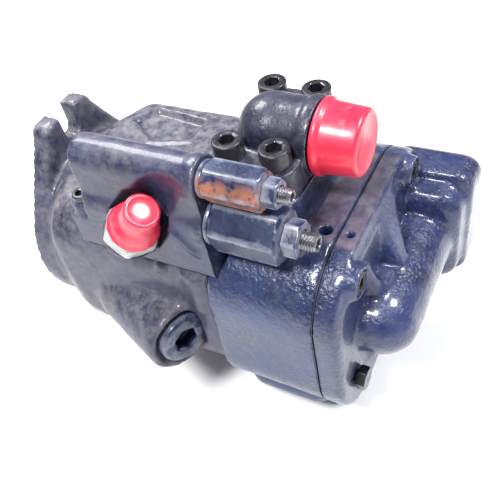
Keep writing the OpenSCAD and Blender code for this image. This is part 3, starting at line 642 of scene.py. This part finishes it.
# cast pocket: points of the top face sink by the depth times a smooth step of their distance
# inside the outline over the wall's width, and a bell curve just outside it lifts a lip
def pressPocket(points, pocket):
    flat = points[:, :2] / mm
    corners = np.array(pocket["corners"], float)
    inside = np.full(len(flat), 1e3)
    for a, b in zip(corners, np.roll(corners, -1, axis=0)):
        way = (b - a) / np.linalg.norm(b - a)
        inside = np.minimum(inside, (flat - a) @ np.array([way[1], -way[0]]))
    top = points[:, 2] / mm > pocket["top"]
    wall = np.clip(inside / pocket["wall"], 0, 1)
    sink = wall * wall * (3 - 2 * wall) * pocket["depth"]
    lip = np.exp(-((inside + pocket["lipWide"]) / pocket["lipWide"]) ** 2) * pocket["lip"]
    points = points.copy()
    points[:, 2] += np.where(top, lip - sink, 0) * mm
    return points


# a copy of the CAD casting, remeshed in small cubes with any added lumps, then relaxed: cast
# skin flows into fillets, machined zones keep their edges
def makeCasting(name, node, look, extras=()):
    mesh = nodes[node].data.copy()
    mesh.name = name
    mesh.materials.clear()
    work = bmesh.new()
    work.from_mesh(mesh)
    bmesh.ops.remove_doubles(work, verts=work.verts, dist=2e-6)
    for verts, faces in extras:
        fresh = [work.verts.new(v) for v in verts.tolist()]
        for face in faces:
            work.faces.new([fresh[i] for i in face])
    work.to_mesh(mesh)
    work.free()
    rough = bpy.data.objects.new(name + "Rough", mesh)
    scene.collection.objects.link(rough)
    remesh = rough.modifiers.new("cubes", "REMESH")
    remesh.mode = "VOXEL"
    remesh.voxel_size = look["cube"] * mm
    graph = bpy.context.evaluated_depsgraph_get()
    final = bpy.data.meshes.new_from_object(rough.evaluated_get(graph))
    bpy.data.objects.remove(rough)
    final.name = name
    count = len(final.vertices)
    points = np.zeros(count * 3)
    final.vertices.foreach_get("co", points)
    points = points.reshape(-1, 3)
    edges = np.zeros(len(final.edges) * 2, int)
    final.edges.foreach_get("vertices", edges)
    edges = edges.reshape(-1, 2)
    kept = insideBoxes(points, look["machined"])
    points = relax(points, edges, np.where(kept, 0.15, 0.5), 2)
    points = relax(points, edges, np.where(kept, 0.0, 0.5), look["soften"])
    final.vertices.foreach_set("co", points.ravel())
    final.update()
    normals = np.zeros(count * 3)
    final.vertices.foreach_get("normal", normals)
    lift = castWaves(points, look["seed"]) * look["waves"] * mm
    points = points + normals.reshape(-1, 3) * np.where(kept, 0.0, lift)[:, None]
    if "pocket" in look:
        points = pressPocket(points, look["pocket"])
    final.vertices.foreach_set("co", points.ravel())
    final.polygons.foreach_set("use_smooth", np.ones(len(final.polygons), bool))
    final.update()
    made = bpy.data.objects.new(name, final)
    scene.collection.objects.link(made)
    final.materials.clear()
    final.materials.append(look["material"])
    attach(made, "pump")
    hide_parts(node)
    print(name, len(final.polygons) * 2, "triangles")
    return made


big = 400
flangeX, flangeZ = 230.0, 5.0
extraLumps = {
    "rearCover": [
        # web from the pad's rear edge down to the duct, a step beside it, the flange's collar
        hullSolid([(214, 20, 61), (214, -6, 61), (219.4, 20, 62), (219.4, -6, 62), (214, 2, 22),
            (214, -12, 22), (237, -2, 22), (237, -9, 22)]),
        block((218, -27, 18), (232, -14, 30)),
        collar((flangeX, flangeZ), (24.5, 35), 15, ((34, 6), (38, 0), (52, 0))),
    ],
    "compensatorBlock": [
        turned([(144.5, 10.5), (146, 11.9), (151.2, 12.2), (152, 11.4)], (0, -53, 107),
            (1, 0, 0)),
        turned([(144.5, 13.5), (146, 14.9), (151.2, 15.2), (152, 14.4)], (0, -53, 80), (1, 0, 0)),
        bead([(131, -67.4, 81), (134, -67.6, 78.5), (138, -67.8, 74), (142.5, -67.8, 68.7),
            (146.5, -67.6, 65)], 1.8),
    ],
    "frontHousing": [bead([(114, -67.6, 55), (114.6, -67.8, 45), (115.6, -67.6, 33)], 1.6)],
}
castings = {
    "frontHousing": ("main_housing", {"cube": 1.5, "soften": 10, "waves": 0.22, "seed": 3,
        "material": frontEnamel, "machined": [((-big, -big, -big), (1.2, big, big)),
        ((143, -big, -big), (big, big, big)), ((-big, -42, -42), (60, 42, 42)),
        ((50, -50, -50), (150, 50, 50))],
        "pocket": {"corners": ((35, 31), (47, 47), (88, 42), (88.5, 21), (61, 13)), "top": 58,
        "depth": 3.2, "wall": 3.0, "lip": 0.8, "lipWide": 1.6}}),
    "portHousing": ("port_block", {"cube": 1.4, "soften": 9, "waves": 0.16, "seed": 5,
        "material": wetEnamel, "machined": [((-big, -big, -big), (147.5, big, big)),
        ((205.2, -big, -big), (big, big, big)), ((-big, -big, 62.6), (big, big, 64.4)),
        ((-big, -big, 80.4), (big, big, big))]}),
    "rearCover": ("rear_cover", {"cube": 1.3, "soften": 8, "waves": 0.16, "seed": 7,
        "material": coverEnamel, "machined": [((-big, -big, -big), (209.4, big, big)),
        ((-big, 70.4, -big), (big, big, big)), ((-big, -big, 62.6), (big, big, 64.4))]}),
    "compensatorBlock": ("compensator_block", {"cube": 1.0, "soften": 8, "waves": 0.14,
        "seed": 9, "material": blockEnamel, "machined": [((150.6, -big, -big), (big, big, big)),
        ((-big, -big, -big), (big, big, 51.4))]}),
    "outletElbow": ("outlet_elbow", {"cube": 0.9, "soften": 7, "waves": 0.1, "seed": 11,
        "material": elbowEnamel, "machined": [((-big, -big, -big), (big, big, 83.2)),
        ((184.5, -big, -big), (big, big, big))]}),
}
for name, (node, look) in castings.items():
    makeCasting(name, node, look, extraLumps.get(name, ()))
print("castings ready")

# turned and hexagonal pieces


# a turned profile whose last ring is joined to its first, for a piece with a hole through it
def turnedRing(rows, base, axis, around=72, spin=0.0):
    verts, faces = turned(rows, base, axis, around, spin)
    tail = (len(rows) - 1) * around
    seam = [[tail + i, tail + (i + 1) % around, (i + 1) % around, i] for i in range(around)]
    return verts[:-2], [face for face in faces if len(face) == 4] + seam


# one visible piece from lists of points and faces, riding on its body and standing for
# the CAD nodes it replaces
def makePiece(name, parts, body, replaced, material, crease=32):
    verts = np.vstack([p[0] for p in parts])
    faces, start = [], 0
    for points, some in parts:
        faces += [[i + start for i in face] for face in some]
        start += len(points)
    mesh = bpy.data.meshes.new(name)
    mesh.from_pydata(verts.tolist(), [], faces)
    mesh.polygons.foreach_set("use_smooth", np.ones(len(mesh.polygons), bool))
    mesh.set_sharp_from_angle(angle=math.radians(crease))
    mesh.materials.append(material)
    made = bpy.data.objects.new(name, mesh)
    scene.collection.objects.link(made)
    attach(made, body)
    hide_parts(*replaced)
    return made


# profile of a socket head screw from the shank's tip, over the head, into the socket, which
# is 0.45 of the head deep
def socketScrew(head, high, shank, long, key):
    deep = high * 0.45
    return ([(-long, shank - 0.7), (-long + 0.7, shank), (0, shank), (0, head - 0.3),
        (0.3, head), (high - 0.9, head)] + arc(high - 0.9, head, high, head - 0.9)
        + [(high, key * 0.62), (high - 0.45, key / 2, 0.8), (high - 0.7, key / 2, 1),
        (deep, key / 2, 1), (deep - 0.6, key * 0.3)])


# profile of a hexagon with a turned chamfer: towards its outer end the largest radius falls
# in a straight line from the corner to the flat
def hexHead(x0, x1, flats, chamfer, lead=()):
    corner = flats / 2 / math.cos(math.pi / 6)
    drop = corner - flats / 2
    rows = list(lead) + [(x0, flats / 2 - 0.2, 1), (x0 + 0.2, flats / 2, 1)]
    for share in (0.0, 0.25, 0.5, 0.75, 1.0):
        rows.append((x1 - chamfer * (1 - share), flats / 2, 1, corner - drop * share + 0.02))
    return rows


black = finishes["black_screws"]
outletPlan = {"long": 52.4, "short": 26.2, "seat": 100.0, "head": 8, "high": 10, "key": 8}
outletX, _, _ = middle("outlet_screws") / mm
outletParts = []
for index, (sx, sy) in enumerate(((-1, -1), (-1, 1), (1, -1), (1, 1))):
    outletParts.append(turned(socketScrew(outletPlan["head"], outletPlan["high"], 5, 32,
        outletPlan["key"]), (outletX + sx * outletPlan["short"] / 2,
        sy * outletPlan["long"] / 2, outletPlan["seat"]), (0, 0, 1), spin=0.35 * index,
        up=(1, 0, 0)))
makePiece("outletScrews", outletParts, "pump", ["outlet_screws"], black)

blockPlan = {"feet": ((92, -32, 72), (126, -32, 72)), "ear": (69, -60, 79)}
blockParts = [turned(socketScrew(6.5, 8, 4, 24, 6), foot, (0, 0, 1), spin=0.2, up=(1, 0, 0))
    for foot in blockPlan["feet"]]
blockParts.append(turned(socketScrew(5, 4, 3, 40, 5), blockPlan["ear"], (0, 0, 1), up=(1, 0, 0)))
makePiece("blockScrews", blockParts, "pump", ["block_screws"], black)

casePlan = {"rear": 221.6, "long": ((-50, -31), (38, -43)), "short": ((-46, 50), (40, 52)),
    "hidden": ((-56, 26), (56, 26)), "hiddenX": 195.1}
caseParts = []
for y, z in casePlan["short"]:
    caseParts.append(turned(socketScrew(6.5, 8, 4, 30, 6), (casePlan["rear"] - 4, y, z),
        (1, 0, 0)))
for places, seat, shank in ((casePlan["long"], casePlan["rear"], 96.6),
        (casePlan["hidden"], casePlan["hiddenX"], 70.1)):
    for y, z in places:
        lead = [(-shank, 3.4), (-shank + 0.6, 4), (0, 4), (0, 6.3), (0.2, 6.5), (0.8, 6.5)]
        caseParts.append(turned(hexHead(0.8, 6, 13, 1.0, lead) + [(5.9, 2.5)],
            (seat, y, z), (1, 0, 0), spin=0.3))
makePiece("caseBolts", caseParts, "pump", ["case_bolts"], black)
print("screws ready")

stageX = 152.0  # rear face of the compensator block
spoolY = -53.0
stages = {
    "pressure": {"z": 107.0, "flats": 19, "end": 185.0, "thread": 7.95, "chamber": 6, "stem": 4,
        "reach": 13, "nut": 13, "nutEnd": 7.0, "pitch": 1.25, "turn": 0.0,
        "finish": hexEnamel("rustyHexEnamel", 0.1125)},
    "flow": {"z": 80.0, "flats": 27, "end": 192.0, "thread": 10.95, "chamber": 8.5, "stem": 5,
        "reach": 16, "nut": 17, "nutEnd": 8.2, "pitch": 1.5, "turn": 0.26,
        "finish": hexEnamel("dullHexEnamel", -1.0)},
}
for kind, s in stages.items():
    half = s["flats"] / 2
    corner = half / math.cos(math.pi / 6)
    rows = [(-12, s["chamber"]), (-12, s["thread"] - 0.5), (-11.5, s["thread"]),
        (0, s["thread"]), (0, half - 0.4), (0.4, half), (2.2, half), (2.6, half * 0.985)]
    length = s["end"] - stageX
    rows += [(2.9, half, 1, half * 1.0), (3.6, half, 1, corner - (corner - half) * 0.45),
        (4.8, half, 1), (length - 2.6, half, 1),
        (length - 1.6, half, 1, corner - (corner - half) * 0.35),
        (length - 0.9, half, 1, half + 0.05), (length - 0.5, half - 0.4, 0.3, half - 0.3),
        (length, half - 1.2), (length, s["stem"] + 0.5), (length - 0.5, s["stem"] + 0.03),
        (length - 8, s["stem"] + 0.03), (length - 8, s["chamber"])]
    shell = turnedRing(rows, (stageX, spoolY, s["z"]), (1, 0, 0), spin=s["turn"])
    makePiece(kind + "Cap", [shell], "pump", [kind + "_cap"], s["finish"])

    seat = s["end"] + 0.2
    nutRows = hexHead(0.0, s["nutEnd"] - 0.2, s["nut"], 1.1)
    nutRows = [(0, s["stem"] + 0.03), (0, s["nut"] / 2 - 0.5)] + nutRows[1:] + [
        (s["nutEnd"] - 0.2, s["stem"] + 0.5), (s["nutEnd"] - 0.7, s["stem"] + 0.03)]
    nut = turnedRing(nutRows, (seat, spoolY, s["z"]), (1, 0, 0), spin=0.1 + s["turn"])
    makePiece(kind + "Locknut", [nut], "pump", [kind + "_locknut"],
        finishes["painted_steel"])

    start, tip = s["end"] - 16, s["end"] + s["reach"]
    step = s["pitch"] / 8
    xs = np.arange(0.4, tip - start - 0.8, step)
    depth = 0.55 * s["pitch"]
    rows = [(0, s["stem"] - 0.8), (0.3, s["stem"] - 0.4)]
    rows += [(x, s["stem"], 0, 1e3, depth) for x in xs]
    far = tip - start
    key = s["stem"]
    rows += [(far - 0.5, s["stem"] - 0.5), (far, s["stem"] - 0.9), (far, key * 0.6),
        (far - 0.4, key / 2, 1), (far - 4, key / 2, 1), (far - 4.4, key * 0.3)]
    rod = turned(rows, (start, spoolY, s["z"]), (1, 0, 0), around=48, pitch=s["pitch"])
    makePiece(kind + "Adjuster", [rod], kind + "_adjuster", [kind + "_adjuster"],
        bareMetal(kind + "ThreadSteel", (0.2, 0.2, 0.23), (0.4, 0.38, 0.38),
        0.32))
print("compensator stages ready")

# plug, fitting and red caps

servoPlan = {
    "lean": 22.8, "base": (59.0, -49.5, -6.0), "spin": 0.5,
    "rows": [(56, 14.6), (56.5, 15.1), (64.6, 15.1), (64.6, 16.2), (64.8, 16.4), (69.6, 16.4),
        (70.2, 16.2), (71.3, 15.0), (71.6, 14.4), (71.6, 8.9), (71.2, 8.1, 0.5), (70.8, 7, 1),
        (63.2, 7, 1), (62.2, 4.5)],
}
lean = math.radians(servoPlan["lean"])
plug = turned(servoPlan["rows"], servoPlan["base"], (math.cos(lean), -math.sin(lean), 0),
    spin=servoPlan["spin"])
makePiece("servoPlug", [plug], "pump", ["servo_plug"],
    finishes["painted_steel"])

signalJoint = next(j for j in frame["joints"] if j["name"] == "signal_cap_pull")
signalWay = signalJoint["axis"]
signalPlan = {
    "foot": (106.0, -69.2, 71.6), "spin": 0.4,
    "fitting": [(-9, 4.5), (-9, 7.4), (-8.5, 7.9), (-0.2, 7.9), (-0.2, 12.9), (0, 13.3),
        (0.1, 13.5, 1, 13.6), (0.9, 13.5, 1, 14.8), (1.8, 13.5, 1), (7.2, 13.5, 1),
        (8.1, 13.5, 1, 14.8), (8.9, 13.5, 1, 13.6), (9, 12.6), (9, 10.4), (9.2, 9.3),
        (19.2, 9.3), (20, 8.6), (20, 5.0), (19.5, 4.5)],
    "cap": [(30.5, 6.6), (30.2, 7.3), (21.6, 7.8), (20.6, 9.5), (9.9, 9.5), (9.5, 9.9),
        (9.5, 13.4), (9.8, 13.9), (10.4, 14.1), (11.0, 13.9), (11.8, 13.2), (15.5, 12.6),
        (17.5, 12.0), (19.6, 10.5), (21, 9.9), (26, 9.6), (31.4, 9.3), (32.2, 8.9),
        (32.5, 8.2), (32.5, 7.4), (32.1, 6.8), (32.0, 3.0)],
}
fitting = turnedRing(signalPlan["fitting"], signalPlan["foot"], signalWay,
    spin=signalPlan["spin"])
makePiece("signalFitting", [fitting], "pump", ["signal_fitting"],
    finishes["zinc_fitting"])

red = finishes["red_plastic"]
signalShell = turned(signalPlan["cap"], signalPlan["foot"], signalWay)
makePiece("signalCap", [signalShell], "signal_cap", ["signal_cap"], red,
    crease=60)

outletCapPlan = {
    "height": 100, "around": 96,
    "rows": [(21.5, 14.6), (21, 15.2), (16, 15.9), (0.4, 15.95), (0, 16.4), (0, 19.6),
        (0.4, 20.1), (1.2, 20.35), (2.4, 20.3), (3.2, 19.7), (4.0, 18.9), (4.6, 18.7),
        (13, 18.1), (21.5, 17.4), (22.6, 17.0), (23.3, 16.2), (23.5, 15.3), (23.5, 14.2),
        (23.2, 13.6), (23.1, 6.0)],
}
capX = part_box("outlet_cap")[0][0] / mm
outletShell = turned(outletCapPlan["rows"], (capX, 0, outletCapPlan["height"]), (1, 0, 0),
    around=outletCapPlan["around"])
makePiece("outletCap", [outletShell], "outlet_cap", ["outlet_cap"], red,
    crease=60)
print("caps and fittings ready")
